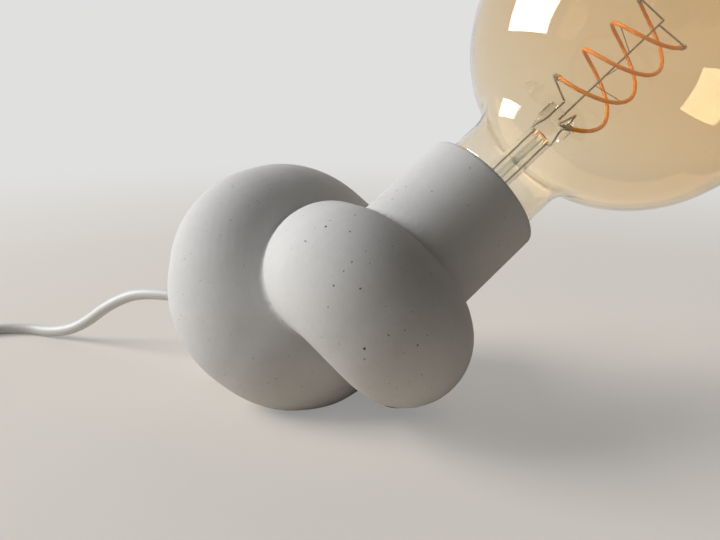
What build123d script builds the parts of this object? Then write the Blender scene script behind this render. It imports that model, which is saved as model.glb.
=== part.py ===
from build123d import *
import math
import os

# A table lamp: a fat concrete tube tied in an overhand knot, with a lampholder in its raised end,
# a large globe filament bulb, and a white cord that leaves the other end near the table.
# Millimetres. X points the way the bulb leans, Z is up, and the lamp stands on Z = 0.

# Concrete body
TUBE_D = 50.0  # outer diameter of the cast tube
EDGE_R = 1.2  # rounding of both cast ends
LEAN = 37.3  # the socket end rises by this angle, in degrees
SOCKET_RUN = 52.0  # straight run from the rim to the first corner of the knot
BEND_SHARE = 0.43  # share of the shorter run that each bend takes up
CUP_DEPTH = 50.0  # from the rim to the floor of the lamp cup
DUCT_D = 9.0  # cast duct for the cord
FOOT_H = 1.5  # height of the ground flats over the table
FOOT_D = 12.0  # soft feet
FIT = 0.05  # radial clearance of parts that slide together
CUT = 1.0  # cutting tools run past a face by this much

# Corners of the knot's centreline, for a tube of KNOT_TUBE_D: from the socket's first corner,
# round the left loop, behind the socket, over the front and through the loop to the cord end
KNOT_TUBE_D = 50.0
RIM_AT = (-11.5, -18.0, 82.0)
KNOT = [
    (-78.0, 7.0, 21.0),
    (-96.0, 26.5, 35.5),
    (-88.0, 41.5, 61.0),
    (-59.0, 51.0, 65.5),
    (-33.5, 46.5, 42.0),
    (-32.5, 22.5, 24.0),
    (-44.0, -21.0, 29.0),
    (-59.0, -41.0, 42.5),
    (-71.5, -33.0, 58.0),
    (-70.0, -10.0, 56.5),
    (-61.0, 13.5, 53.0),
    (-58.0, 27.0, 38.0),
    (-64.5, 41.5, 25.3),
    (-80.0, 59.0, 26.5),
]
# The casting is kept in short lengths that meet face to face. From the rim to the cord end,
# with the number of bends in each:
LENGTHS = {
    "socket": 0,
    "arm": 1,
    "loop_base": 1,
    "loop_left": 1,
    "loop_crown": 1,
    "loop_top": 1,
    "loop_back": 1,
    "under_arm": 1,
    "front_base": 1,
    "front_bulge": 1,
    "front_top": 1,
    "loop_passage": 2,
    "cord_end": 2,
}
WHOLE = ("socket", "loop_back", "under_arm", "front_base")  # these stay whole where lengths cross
# Where the soft feet stand, for a tube of KNOT_TUBE_D
FEET = [(-79.0, 8.5), (-34.5, 15.0), (-40.5, -7.5), (-74.0, 52.0)]

# Bulb
BULB_D = 125.0
TIP_DEPTH = 29.5  # the cap's tip stands this deep below the rim
GLASS_T = 0.9
NECK_D = 40.0
NECK_L = 10.55  # straight part of the neck, for a bulb 177 mm long over all
SHOULDER_R = 7.2  # rounding between the cap and the neck
FLARE_R = 15.5  # hollow rounding between the neck and the globe
COLLAR_L = 6.0  # glass that is cemented into the cap
CAP_D = 26.1
CAP_L = 20.0
CAP_T = 0.35
CAP_TAPER = (1.6, 2.0)  # the cap's lower edge draws in by this much, over this height
INSULATOR_H = 5.5
INSULATOR_PLUG = 1.0  # height of the insulator inside the cap
INSULATOR_EDGE = 0.4  # the insulator's face is this much wider than the contact
CONTACT_H = 1.5
CONTACT_D = 9.6
BOARD = (19.0, 1.0, 14.0)  # driver board: width, thickness and height
CHIPS = [(-5.0, 4.5, (7.0, 3.0, 4.0)), (4.0, 9.0, (4.0, 2.0, 5.0))]  # place on the board, and size
CAPACITOR = (5.0, 5.5, 6.0, 6.0)  # place on the board's back, diameter and length
STEM_D = 10.4
STEM_T = 0.9
STEM_TOP = 33.0  # height of the stem tube over the rim
PINCH_W = 14.0
PINCH_T = 5.0
PINCH_L = 13.0
EXHAUST_D = 3.6
HELIX_R = 13.15  # the two filaments wind as a double helix
HELIX_PITCH = 33.44
HELIX_BASE = 38.0  # height where the first strand points at the bulb's front
HELIX_FROM = (57.5, 48.4)
HELIX_TO = 103.0
HELIX_STEPS = 8  # pairs of arcs in a turn
TURN_RISE = 11.4  # each turn lies slanted, and this much higher on the side at
TURN_RISE_AT = 61.4  # this angle in the socket's frame, in degrees
FILAMENT_D = 1.6
HELIX_TURN = -26.7  # angle of the bulb's front in the socket's frame, in degrees
WIRE_D = 0.8  # lead and support wires
CLIP_D = 2.3  # metal ends of the filaments
CLIP_L = 3.0
WIRE_REACH = 0.65  # from the end of an upper clip to the middle of its wire
WELD_L = 3.0  # straight end of a lead wire, which is butted to a lower clip
POST_SEAT = 3.0  # depth of the support post in the glass
LEAD_RISE = 4.0  # the lead wires bend away at this height over the stem
HOOKS = 3  # thin hooks that steady the strands

# Lampholder
HOLDER_GAP = 2.0  # between the cup and the holder
HOLDER_WALL = 2.0
SHELL_GAP = 0.3  # between the bulb's cap and the screw shell
SHELL_T = 0.5
SHELL_ROOM = 1.3  # between the screw shell and the insert's wall
SHELL_TOP = -7.0  # height of the screw shell's edge, below the rim
SKIRT_TOP = -4.0
LIP_T = 2.0
INSERT_T = 6.0
INSERT_WALL = 1.8
SEAT_GAP = 0.2  # between the bulb's tip and the centre contact
STRIP_T = 0.6
SPRING_RISE = 1.3  # the centre contact's tongue stands this high over the insert
SPRING_STEP = (2.0, -0.5)  # the strip steps up between these distances from the axis
TERMINAL = (6.0, 5.0, 5.0)  # length, width and height
TERMINAL_R = 9.5  # distance of the terminals from the axis
SCREW_D = 3.0
SCREW_HEAD_D = 4.4
SCREW_HEAD_T = 1.3
RIVET_D = 3.0
LEDGE_W = 2.0
LEDGE_H = 3.0
CAP_FLOOR = 2.5
WIRE_ROOM = 2.5  # space between the terminals and the holder cap's floor
NUT_T = 3.0
NUT_ACROSS = 14.0
NIPPLE_D = 10.0
NIPPLE_BORE = 7.2
NIPPLE_ABOVE = 0.5  # stands above the holder cap's floor
NIPPLE_GRIP = 8.0  # length held in the concrete
DUCT_CORNER = 18.0  # first corner of the duct, below the cup's floor

# Cord
CORD_D = 5.2
CONDUCTOR_D = 1.9
SHEATH_ABOVE = 1.0  # the sheath ends above the nipple
RELIEF_PLUG = (14.0, 8.0)  # diameter and depth of the part seated in the concrete
RELIEF_FLANGE = (18.0, 2.0)
RELIEF_L = 24.0  # tapered part
RELIEF_D = (10.0, 7.0)  # at the flange and at the tip
RELIEF_RINGS = 4
RING_W = 1.6
RING_DEPTH = 0.6
FIRST_RUN = 50.0  # the cord's first corner, straight out from the concrete
# Its way down to the table: level distance from the concrete's end, and height
DROP = [(70.0, 21.8), (90.0, 7.2), (106.0, CORD_D / 2)]
# then X and Y from the cord end while it lies on the table, round to the switch
LAY = [(-82.0, 93.0), (-100.5, 98.0), (-118.5, 92.5)]
SWITCH_WAY = (-0.652, -0.758)  # direction of the switch on the table
SWITCH_LIFT_AT = (17.0, 33.0)  # the cord rises to the switch this far from the last point
SWITCH_AT = 38.0  # the switch starts this far from the last point
LINK_L = 36.0  # from the switch to the coil

# Inline switch
SWITCH_L = 58.0
SWITCH_W = 26.0
SWITCH_END_W = 11.0
SWITCH_H = 17.5
SWITCH_END_H = 13.0
SWITCH_AXIS_H = 8.5  # height of the cord and of the parting plane
SWITCH_FLAT = 26.0  # level part of the top
CORD_GRIP = 12.0  # depth of the cord in the switch
GRIP_GAP = 0.1
ROCKER_L = 18.4
ROCKER_W = 11.4
ROCKER_TILT = 8.0
ROCKER_GAP = 1.6
ROCKER_SIDE_GAP = 0.4
ROCKER_PIVOT_H = 11.5
ROCKER_HUB_D = 6.4
ROCKER_T = 3.6
PIN_D = 2.4
PIN_SEAT = 1.8  # depth of the pin's ends in the cover
POCKET_FLOOR = 1.0  # above the parting plane
HOUSING_SCREW = (2.6, 5.0, 2.0, 12.0)  # shank, head, head height, length
HOUSING_SCREW_AT = 14.2

# Coil that takes up the rest of the cord
COIL_R = 41.0  # radius of the outer turn
COIL_TURNS = 8.387
COIL_GAP = 0.7  # between neighbouring turns
COIL_SAMPLES = 800  # points on which its length and its gaps are measured
TIE_T = 1.2
TIE_W = 6.0
TIE_GAP = 0.2
TIE_ANGLE = 60.0
TAIL = [(7.0, 0.0), (14.0, 0.4), (22.0, 1.0)]  # distance and share of the drop to the plug

# Plug
PLUG_H = 13.6
PLUG_L = 36.0
PLUG_W = 32.0
PLUG_FRONT_W = 28.0
PLUG_REAR_W = 14.0
PLUG_WAIST = (9.0, 17.0)  # where the rear starts to widen, and its width there
PLUG_WIDEST = 25.0
PLUG_ROUND = 2.5
PLUG_PIN_D = 4.0
PLUG_PIN_L = 19.0
PLUG_PIN_SPACING = 18.6
PLUG_PIN_SEAT = 7.0
SLEEVE_L = 10.0
SLEEVE_D = 3.8
SLEEVE_T = 0.45
PLUG_RELIEF_L = 20.0
PLUG_RELIEF_D = (9.0, 6.8)

K = TUBE_D / KNOT_TUBE_D
TUBE_R = TUBE_D / 2
CORD_R = CORD_D / 2
CAP_R = CAP_D / 2
# The lampholder is built outwards from the bulb's cap, and the cup is bored to take it
SHELL_R = CAP_R + SHELL_GAP
INSERT_BORE_R = SHELL_R + SHELL_T + SHELL_ROOM
INSERT_R = INSERT_BORE_R + INSERT_WALL
HOLDER_BORE_R = INSERT_R + FIT
HOLDER_R = HOLDER_BORE_R + HOLDER_WALL
CUP_R = HOLDER_R + HOLDER_GAP


def scaled(points):
    return [Vector(*p) * K for p in points]


def fillet_radii(points, share):
    """The radius of each corner's arc, which takes the given share of the shorter run beside it."""
    radii = []
    for a, b, c in zip(points, points[1:], points[2:]):
        turn = math.radians((b - a).get_angle(c - b))
        radii.append(share * min((b - a).length, (c - b).length) / math.tan(turn / 2))
    return radii


def cord(points, diameter, share=0.45):
    """A round cord along straight runs with tangent arcs, checked by its volume."""
    radii = fillet_radii(points, share)
    route = FilletPolyline(*points, radius=radii)
    tube = sweep(Plane(route @ 0, z_dir=route % 0) * Circle(diameter / 2), route)
    ratio = tube.volume / (math.pi * diameter**2 / 4 * route.length)
    sizes = [round(r, 1) for r in radii]
    print("cord", round(route.length, 1), "mm, radii", sizes, "volume", round(ratio, 4))
    return tube


def biarcs(points, tangents):
    """Pairs of tangent arcs through the points, with the given unit tangents."""
    arcs = []
    for p, q, s, t in zip(points, points[1:], tangents, tangents[1:]):
        v = q - p
        both = s + t
        a = 2 - 2 * s.dot(t)
        b = v.dot(both)
        reach = (-b + math.sqrt(b * b + a * v.dot(v))) / a
        middle = (p + s * reach + q - t * reach) / 2
        arcs.append(TangentArc(p, middle, tangent=s))
        arcs.append(TangentArc(middle, q, tangent=arcs[-1] % 1))
    return arcs


def wound(line, start, stop, steps, diameter, ends=0.0):
    """A round wire along a formula line(u), with straight ends of the given length."""
    nudge = 1e-4 * (stop - start)
    at = [start + (stop - start) * i / steps for i in range(steps + 1)]
    points = [line(u) for u in at]
    tangents = [(line(u + nudge) - line(u - nudge)).normalized() for u in at]
    edges = biarcs(points, tangents)
    if ends:
        edges.insert(0, Line(points[0] - tangents[0] * ends, points[0]))
        edges.append(Line(points[-1], points[-1] + tangents[-1] * ends))
    route = Wire(edges)
    first = points[0] - tangents[0] * ends
    return sweep(Plane(first, z_dir=tangents[0]) * Circle(diameter / 2), route)


def turned(outline):
    """A turned piece from (radius, height) points."""
    return revolve(make_face(Polyline(*[(r, 0, z) for r, z in outline], close=True)), Axis.Z)


def ring(inner, outer, low, high):
    return turned([(inner, low), (outer, low), (outer, high), (inner, high)])


def rod(radius, low, high):
    return turned([(0, low), (radius, low), (radius, high), (0, high)])


def ribbed(length, wide, narrow, bore):
    """A tapered cord sleeve with ring grooves, from its wide end along Z."""
    body = turned([(bore, 0), (wide, 0), (narrow, length), (bore, length)])
    for i in range(RELIEF_RINGS):
        z = length * (i + 0.8) / (RELIEF_RINGS + 0.6)
        r = wide + (narrow - wide) * z / length
        body -= ring(r - RING_DEPTH, wide + RING_W, z, z + RING_W)
    return body


nodes = {}

# The socket's frame: its origin is the middle of the rim, its Z the bulb's axis
RIM = Vector(*RIM_AT) * K
TILT = math.radians(LEAN)
UP_AXIS = Vector(math.cos(TILT), 0, math.sin(TILT))
SOCKET = Plane(RIM, x_dir=(math.sin(TILT), 0, -math.cos(TILT)), z_dir=UP_AXIS)

# Heights along that axis
TIP = -TIP_DEPTH
CAP_LOW = TIP + CONTACT_H + INSULATOR_H
CAP_TOP = CAP_LOW + CAP_L
SHOULDER_Z = CAP_TOP + GLASS_T / 3 + SHOULDER_R
FLARE_Z = SHOULDER_Z + NECK_L
FLARE_X = NECK_D / 2 + FLARE_R
GLOBE_Z = FLARE_Z + math.sqrt((BULB_D / 2 + FLARE_R) ** 2 - FLARE_X**2)
INSERT_TOP = TIP - SEAT_GAP - SPRING_RISE
INSERT_LOW = INSERT_TOP - INSERT_T
TERMINAL_LOW = INSERT_LOW - TERMINAL[2]
HOLDER_FLOOR = TERMINAL_LOW - WIRE_ROOM
HOLDER_LOW = HOLDER_FLOOR - CAP_FLOOR
CUP_FLOOR = -max(CUP_DEPTH, NUT_T - HOLDER_LOW)
NUT_TOP = HOLDER_LOW
NIPPLE_TOP = HOLDER_FLOOR + NIPPLE_ABOVE
SHEATH_TOP = NIPPLE_TOP + SHEATH_ABOVE

# The knot: bends and straight runs of one thick tube
centreline = [RIM, RIM - UP_AXIS * SOCKET_RUN] + scaled(KNOT)
END = centreline[-1]
END_WAY = (END - centreline[-2]).normalized()


def rounded_end(piece, point):
    edge = piece.edges().filter_by(GeomType.CIRCLE).sort_by(lambda e: (e.center() - point).length)[0]
    return fillet(edge, EDGE_R)


def bend(start, way, inward, radius, turn):
    """One bend of the tube. Where it is tighter than the tube, the section stops at the bend's axis."""
    section = Circle(TUBE_R)
    if radius < TUBE_R:
        section = section & Pos(radius - TUBE_D, 0) * Rectangle(2 * TUBE_D, 2 * TUBE_D)
    face = Plane(start, x_dir=inward, z_dir=way) * section
    axis = Axis(start + inward * radius, way.cross(inward))
    return revolve(face, axis, revolution_arc=math.degrees(turn))


def straight(start, stop):
    return extrude(Plane(start, z_dir=stop - start) * Circle(TUBE_R), (stop - start).length)


def knot_pieces(points):
    """Straight runs and bends in turn, from the rim to the cord end."""
    pieces = []
    here = points[0]
    for (a, b, c), radius in zip(zip(points, points[1:], points[2:]), fillet_radii(points, BEND_SHARE)):
        way = (b - a).normalized()
        onward = (c - b).normalized()
        turn = math.radians(way.get_angle(onward))
        reach = radius * math.tan(turn / 2)
        inward = (onward - way * way.dot(onward)).normalized()
        pieces.append(straight(here, b - way * reach))
        pieces.append(bend(b - way * reach, way, inward, radius, turn))
        here = b + onward * reach
    pieces.append(straight(here, points[-1]))
    pieces[0] = rounded_end(pieces[0], points[0])
    pieces[-1] = rounded_end(pieces[-1], points[-1])
    return pieces


tubes = {}
pieces = knot_pieces(centreline)
for name, bends in LENGTHS.items():
    tubes[name] = pieces.pop(0)
    for _ in range(2 * bends - 1):
        tubes[name] = tubes[name].fuse(pieces.pop(0))

# Where lengths cross, each gives way to those before it
lengths = {"socket": tubes["socket"]}
for name in sorted(LENGTHS, key=lambda name: name not in WHOLE)[1:]:
    lengths[name] = tubes[name].cut(*lengths.values())


# The duct leaves the nipple straight and then follows the knot
duct_points = [SOCKET.from_local_coords(Vector(0, 0, SHEATH_TOP))]
duct_points.append(SOCKET.from_local_coords(Vector(0, 0, CUP_FLOOR - DUCT_CORNER)))
duct_points += centreline[2:]
duct_route = FilletPolyline(*duct_points, radius=fillet_radii(duct_points, BEND_SHARE))
OUTLET = Plane(END, z_dir=END_WAY)

cores = [
    SOCKET * rod(CUP_R, CUP_FLOOR, TUBE_D),
    SOCKET * rod(NIPPLE_D / 2 + FIT, CUP_FLOOR - NIPPLE_GRIP, 0),
    sweep(Plane(duct_route @ 0, z_dir=duct_route % 0) * Circle(DUCT_D / 2), duct_route),
    OUTLET * rod(RELIEF_PLUG[0] / 2 + FIT, -RELIEF_PLUG[1], TUBE_D),
    Pos(0, 0, FOOT_H - TUBE_D) * Box(20 * TUBE_D, 20 * TUBE_D, 2 * TUBE_D),
]
for name in LENGTHS:
    for core in cores:
        lengths[name] = lengths[name].cut(core)
    nodes[f"concrete_{name}"] = lengths[name]

# Soft feet, bedded on the underside and level with the table
for i, (x, y) in enumerate(FEET):
    foot = Pos(x * K, y * K, 0) * rod(FOOT_D / 2, 0, FOOT_H + TUBE_R / 4)
    nodes[f"foot_pad_{i + 1}"] = foot.cut(*lengths.values())

# Lampholder, from the cup's floor up
nodes["threaded_nipple"] = SOCKET * ring(NIPPLE_BORE / 2, NIPPLE_D / 2, CUP_FLOOR - NIPPLE_GRIP, NIPPLE_TOP)
nut = extrude(RegularPolygon(NUT_ACROSS / 2, 6, major_radius=False), NUT_TOP - CUP_FLOOR)
nut = Pos(0, 0, CUP_FLOOR) * nut - rod(NIPPLE_D / 2 + FIT, CUP_FLOOR - CUT, 0)
nodes["lock_nut"] = SOCKET * nut

SKIRT_LOW = INSERT_LOW + LEDGE_H / 2
holder_cap = turned(
    [
        (NIPPLE_D / 2 + FIT, HOLDER_LOW),
        (HOLDER_BORE_R, HOLDER_LOW),
        (HOLDER_R, HOLDER_LOW + HOLDER_WALL),
        (HOLDER_R, SKIRT_LOW),
        (HOLDER_BORE_R, SKIRT_LOW),
        (HOLDER_BORE_R, INSERT_LOW),
        (HOLDER_BORE_R - LEDGE_W, INSERT_LOW),
        (HOLDER_BORE_R - LEDGE_W, INSERT_LOW - LEDGE_H),
        (HOLDER_BORE_R, INSERT_LOW - LEDGE_H - LEDGE_W),
        (HOLDER_BORE_R, HOLDER_FLOOR),
        (NIPPLE_D / 2 + FIT, HOLDER_FLOOR),
    ]
)
nodes["holder_cap"] = SOCKET * holder_cap

insert = rod(INSERT_R, INSERT_LOW, INSERT_TOP)
insert += ring(INSERT_BORE_R, INSERT_R, INSERT_TOP, SKIRT_TOP - LIP_T)
for side in (-1, 1):
    insert -= Pos(side * TERMINAL_R, 0, 0) * rod(RIVET_D / 2, INSERT_LOW - CUT, INSERT_TOP + CUT)
nodes["holder_insert"] = SOCKET * insert

skirt = ring(HOLDER_BORE_R, HOLDER_R, SKIRT_LOW, SKIRT_TOP)
skirt += ring(INSERT_BORE_R, HOLDER_R, SKIRT_TOP - LIP_T, SKIRT_TOP)
nodes["holder_skirt"] = SOCKET * skirt

screw_shell = ring(SHELL_R, SHELL_R + SHELL_T, INSERT_TOP, SHELL_TOP)
tab_l = SHELL_R + SHELL_T / 2 - TERMINAL_R + RIVET_D
tab = Pos(-(TERMINAL_R - RIVET_D + tab_l / 2), 0, INSERT_TOP + STRIP_T / 2) * Box(tab_l, 2 * RIVET_D, STRIP_T)
nodes["screw_shell"] = SOCKET * (screw_shell + tab)

# The centre contact is a springy strip that steps up from its rivet to the bulb's tip
strip_far = TERMINAL_R + RIVET_D / 2
strip_near = -CONTACT_D / 3
step_low, step_high = SPRING_STEP
bent = [(strip_far, 0), (strip_far, STRIP_T), (step_low + STRIP_T / 2, STRIP_T)]
bent += [(step_high + STRIP_T / 2, SPRING_RISE), (strip_near, SPRING_RISE)]
bent += [(strip_near, SPRING_RISE - STRIP_T), (step_high, SPRING_RISE - STRIP_T), (step_low, 0)]
strip = make_face(Polyline(*[(x, 0, INSERT_TOP + z) for x, z in bent], close=True))
nodes["centre_contact"] = SOCKET * extrude(strip, 2 * RIVET_D / 3, dir=(0, 1, 0), both=True)


def both_sides(piece):
    """A piece on the live side and its twin on the neutral side."""
    return [piece, Rot(0, 0, 180) * piece]


terminal = Pos(TERMINAL_R, 0, INSERT_LOW - TERMINAL[2] / 2) * Box(*TERMINAL)
screw_axis = Plane((TERMINAL_R + TERMINAL[0] / 2, 0, INSERT_LOW - TERMINAL[2] / 2), z_dir=(1, 0, 0))
terminal -= screw_axis * rod(SCREW_D / 2, -TERMINAL[0] / 2, 0)
terminal_screw = screw_axis * (rod(SCREW_D / 2, -TERMINAL[0] / 2, 0) + rod(SCREW_HEAD_D / 2, 0, SCREW_HEAD_T))
rivet = Pos(TERMINAL_R, 0, 0) * rod(RIVET_D / 2, INSERT_LOW, INSERT_TOP)
for name, piece in zip(("live", "neutral"), both_sides(terminal)):
    nodes[f"{name}_terminal"] = SOCKET * piece
nodes["terminal_screws"] = SOCKET * Compound(both_sides(terminal_screw))
nodes["contact_rivets"] = SOCKET * Compound(both_sides(rivet))

conductor_h = INSERT_LOW - TERMINAL[2] / 2
conductor_x = CORD_D / 4
conductor = FilletPolyline(
    (conductor_x, 0, SHEATH_TOP),
    (conductor_x, 0, conductor_h),
    (TERMINAL_R - TERMINAL[0] / 2, 0, conductor_h),
    radius=CONDUCTOR_D * 0.7,
)
conductor = sweep(Plane(conductor @ 0, z_dir=conductor % 0) * Circle(CONDUCTOR_D / 2), conductor)
for name, piece in zip(("live", "neutral"), both_sides(conductor)):
    nodes[f"{name}_conductor"] = SOCKET * piece


# Bulb, in the socket's frame
def arc(x, z, radius, start, stop):
    """An arc in the bulb's half section, about (x, z), between two angles from the X axis."""
    at = [math.radians(start + (stop - start) * i / 2) for i in range(3)]
    return ThreePointArc(*[(x + radius * math.cos(u), 0, z + radius * math.sin(u)) for u in at])


def blown(inset):
    """The bulb's glass as a full solid, shrunk by the given inset."""
    globe_r = BULB_D / 2 - inset
    neck_r = NECK_D / 2 - inset
    shoulder_x = NECK_D / 2 - SHOULDER_R
    collar_r = CAP_R - CAP_T - FIT - inset
    collar_low = SHOULDER_Z - SHOULDER_R - COLLAR_L - inset
    meet = math.degrees(math.atan2(GLOBE_Z - FLARE_Z, FLARE_X))
    shoulder = arc(shoulder_x, SHOULDER_Z, SHOULDER_R - inset, -90, 0)
    flare = arc(FLARE_X, FLARE_Z, FLARE_R + inset, 180, 180 - meet)
    globe = arc(0, GLOBE_Z, globe_r, -meet, 90)
    low_z = SHOULDER_Z - SHOULDER_R + inset
    foot = Polyline((0, 0, GLOBE_Z + globe_r), (0, 0, collar_low), (collar_r, 0, collar_low))
    side = Polyline((collar_r, 0, collar_low), (collar_r, 0, low_z), (shoulder_x, 0, low_z))
    neck = Line((neck_r, 0, SHOULDER_Z), (neck_r, 0, FLARE_Z))
    return revolve(make_face([foot, side, shoulder, neck, flare, globe]), Axis.Z)


nodes["bulb_glass"] = SOCKET * (blown(0) - blown(GLASS_T))
INSULATOR_R = CAP_R - CAP_TAPER[0]
taper_top = CAP_LOW + CAP_TAPER[1]
cap_shell = turned(
    [
        (CAP_R - CAP_T, CAP_TOP),
        (CAP_R - CAP_T, taper_top),
        (INSULATOR_R - CAP_T, CAP_LOW),
        (INSULATOR_R, CAP_LOW),
        (CAP_R, taper_top),
        (CAP_R, CAP_TOP),
    ]
)
nodes["bulb_cap"] = SOCKET * cap_shell
plug_r = INSULATOR_R - CAP_T - FIT
plug_top = CAP_LOW + INSULATOR_PLUG
contact_top = TIP + CONTACT_H
insulator = turned(
    [
        (0, contact_top),
        (CONTACT_D / 2 + INSULATOR_EDGE, contact_top),
        (INSULATOR_R, CAP_LOW),
        (plug_r, CAP_LOW),
        (plug_r, plug_top),
        (0, plug_top),
    ]
)
nodes["cap_insulator"] = SOCKET * insulator
contact = turned(
    [
        (0, TIP),
        (CONTACT_D / 3, TIP),
        (CONTACT_D / 2, TIP + CONTACT_H / 2),
        (CONTACT_D / 2, contact_top),
        (0, contact_top),
    ]
)
nodes["cap_contact"] = SOCKET * contact

# The driver board stands on the insulator, inside the cap
board_top = plug_top + BOARD[2]
nodes["driver_board"] = SOCKET * Pos(0, 0, plug_top + BOARD[2] / 2) * Box(*BOARD)
chips = []
for x, z, size in CHIPS:
    chips.append(Pos(x, BOARD[1] / 2 + size[1] / 2, plug_top + z) * Box(*size))
can_x, can_z, can_d, can_l = CAPACITOR
capacitor = Plane((can_x, -BOARD[1] / 2, plug_top + can_z), z_dir=(0, -1, 0)) * rod(can_d / 2, 0, can_l)
nodes["driver_parts"] = SOCKET * Compound(chips + [capacitor])

# The glass stem seals the neck and carries the wires
stem_r = STEM_D / 2
flare_r = CAP_R - CAP_T - FIT - GLASS_T
stem_low = CAP_TOP - COLLAR_L / 2
stem = turned(
    [
        (flare_r, stem_low),
        (flare_r, stem_low + STEM_T),
        (stem_r, stem_low + flare_r - stem_r + STEM_T),
        (stem_r, STEM_TOP),
        (0, STEM_TOP),
        (0, STEM_TOP - STEM_T),
        (stem_r - STEM_T, STEM_TOP - STEM_T),
        (stem_r - STEM_T, stem_low + flare_r - stem_r),
        (flare_r - STEM_T, stem_low),
    ]
)
pinch_low = Plane((0, 0, STEM_TOP)) * Circle(stem_r)
pinch_mid = Plane((0, 0, STEM_TOP + PINCH_L / 2)) * Ellipse(PINCH_W / 2, PINCH_T / 2)
pinch = loft([pinch_low, pinch_mid]) + extrude(pinch_mid, PINCH_L / 2)
stem = Rot(0, 0, HELIX_TURN) * (stem + pinch)
nodes["exhaust_tube"] = SOCKET * ring(EXHAUST_D / 2 - STEM_T, EXHAUST_D / 2, stem_low, STEM_TOP - STEM_T)


def helix(height, phase):
    """A point of a filament strand, from its height over the rim before the turns are slanted."""
    angle = math.radians(360 * (height - HELIX_BASE) / HELIX_PITCH + HELIX_TURN + phase)
    rise = TURN_RISE * math.cos(angle - math.radians(TURN_RISE_AT))
    return Vector(HELIX_R * math.cos(angle), HELIX_R * math.sin(angle), height + rise)


def lay_of(height, phase):
    return (helix(height + 0.01, phase) - helix(height - 0.01, phase)).normalized()


PHASES = (0.0, 180.0)
PINCH_TOP = STEM_TOP + PINCH_L
PINCH_WAY = Vector(1, 0, 0).rotate(Axis.Z, HELIX_TURN)
clips = []
leads = []
arms = []
for i, (phase, start) in enumerate(zip(PHASES, HELIX_FROM)):
    steps = math.ceil(HELIX_STEPS * (HELIX_TO - start) / HELIX_PITCH)
    strand = wound(lambda u: helix(u, phase), start, HELIX_TO, steps, FILAMENT_D)
    nodes[f"filament_{i + 1}"] = SOCKET * strand
    low, high = helix(start, phase), helix(HELIX_TO, phase)
    low_way, high_way = lay_of(start, phase), lay_of(HELIX_TO, phase)
    clips.append(extrude(Plane(low, z_dir=-low_way) * Circle(CLIP_D / 2), CLIP_L))
    clips.append(extrude(Plane(high, z_dir=high_way) * Circle(CLIP_D / 2), CLIP_L))
    weld = low - low_way * CLIP_L
    foot = weld - low_way * WELD_L
    side = PINCH_WAY * math.copysign(PINCH_W / 4, foot.dot(PINCH_WAY))
    leads.append([side + Vector(0, 0, board_top), side + Vector(0, 0, PINCH_TOP + LEAD_RISE), foot, weld])
    arms.append(high + high_way * (CLIP_L + WIRE_REACH))

lead_wires = []
for lead in leads:
    route = FilletPolyline(*lead, radius=WIRE_D)
    lead_wires.append(sweep(Plane(route @ 0, z_dir=route % 0) * Circle(WIRE_D / 2), route))

post_top = max(a.Z for a in arms)
support = rod(WIRE_D / 2, PINCH_TOP - POST_SEAT, post_top)
for arm in arms:
    level = Vector(0, 0, arm.Z)
    support += extrude(Plane(level, z_dir=arm - level) * Circle(WIRE_D / 2), (arm - level).length)
for i in range(HOOKS):
    low = max(HELIX_FROM)
    reach = helix(low + (HELIX_TO - low) * (i + 1) / (HOOKS + 1), PHASES[i % 2])
    level = Vector(0, 0, reach.Z)
    stop = HELIX_R - FILAMENT_D / 2 - FIT
    support += extrude(Plane(level, z_dir=reach - level) * Circle(WIRE_D / 4), stop)
nodes["support_wire"] = SOCKET * support
nodes["lead_wires"] = SOCKET * Compound(lead_wires)
nodes["filament_clips"] = SOCKET * Compound(clips)
stem -= support
for wire in lead_wires:
    stem -= wire
nodes["bulb_stem"] = SOCKET * stem

# Cord through the duct, and its strain relief at the outlet
RELIEF_TIP = END + END_WAY * (RELIEF_FLANGE[1] + RELIEF_L)
inner_points = duct_points[:-1] + [RELIEF_TIP]
inner_route = FilletPolyline(*inner_points, radius=fillet_radii(duct_points, BEND_SHARE))
nodes["cord_in_duct"] = sweep(Plane(inner_route @ 0, z_dir=inner_route % 0) * Circle(CORD_R), inner_route)
relief = ring(CORD_R + FIT, RELIEF_PLUG[0] / 2, -RELIEF_PLUG[1], 0)
relief += ring(CORD_R + FIT, RELIEF_FLANGE[0] / 2, 0, RELIEF_FLANGE[1])
sleeve = ribbed(RELIEF_L, RELIEF_D[0] / 2, RELIEF_D[1] / 2, CORD_R + FIT)
nodes["cord_relief"] = OUTLET * (relief + Pos(0, 0, RELIEF_FLANGE[1]) * sleeve)

# Free cord: down to the table, round to the switch
level_way = Vector(END_WAY.X, END_WAY.Y, 0).normalized()
lead_points = [RELIEF_TIP, END + END_WAY * FIRST_RUN]
for along, height in DROP:
    lead_points.append(Vector(END.X, END.Y, 0) + level_way * along + Vector(0, 0, height))
for x, y in LAY:
    lead_points.append(Vector(END.X + x, END.Y + y, CORD_R))
corner = lead_points[-1]
switch_way = Vector(*SWITCH_WAY, 0).normalized()
lead_points.append(corner + switch_way * SWITCH_LIFT_AT[0] + Vector(0, 0, CORD_R / 8))
lead_points.append(corner + switch_way * SWITCH_LIFT_AT[1] + Vector(0, 0, SWITCH_AXIS_H - CORD_R))
lead_points.append(corner + switch_way * (SWITCH_AT + CORD_GRIP) + Vector(0, 0, SWITCH_AXIS_H - CORD_R))
nodes["cord_lead"] = cord(lead_points, CORD_D)

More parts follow.
